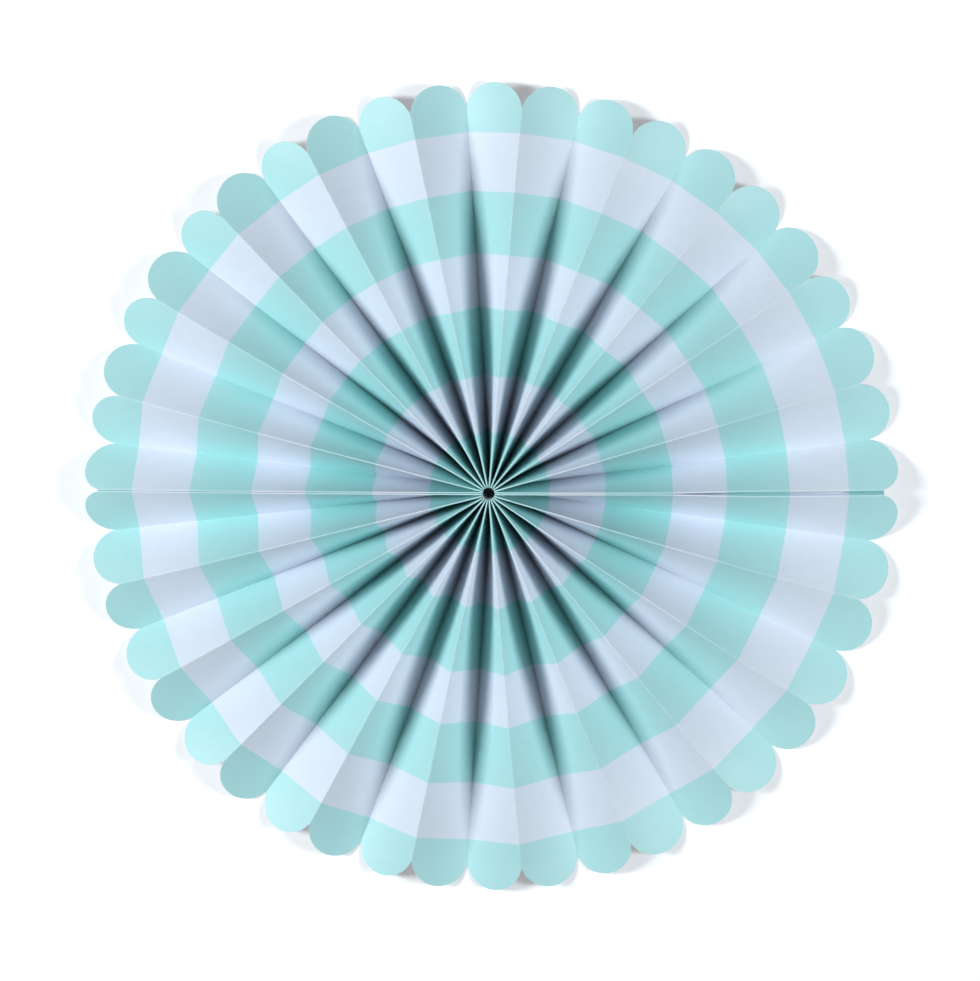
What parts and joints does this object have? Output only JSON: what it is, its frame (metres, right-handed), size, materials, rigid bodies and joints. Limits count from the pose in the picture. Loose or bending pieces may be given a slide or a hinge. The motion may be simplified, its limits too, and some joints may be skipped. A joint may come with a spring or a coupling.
{
  "type": "paper fan rosette",
  "caption": "Round paper fan rosette of radial pleats with scalloped petal tips, made of accordion strips taped end to end and tied at the middle.",
  "frame": {"origin": "on the axis of the middle hole, in the plane that the valley folds lie in", "axes": "+Z out of the printed front, +X towards the wider pleats along one seam, +Y square to both"},
  "size_m": [0.2668, 0.2666, 0.0204],
  "materials": {
    "printed_paper": "matt uncoated paper, mint and white stripes",
    "thread": "twisted white cotton",
    "tape": "translucent double-sided film"
  },
  "bodies": {
    "root": {"upper_pleated_strip": "printed_paper", "lower_pleated_strip": "printed_paper", "binding_thread": "thread", "right_seam_tape": "tape", "left_seam_tape": "tape"}
  },
  "joints": []
}
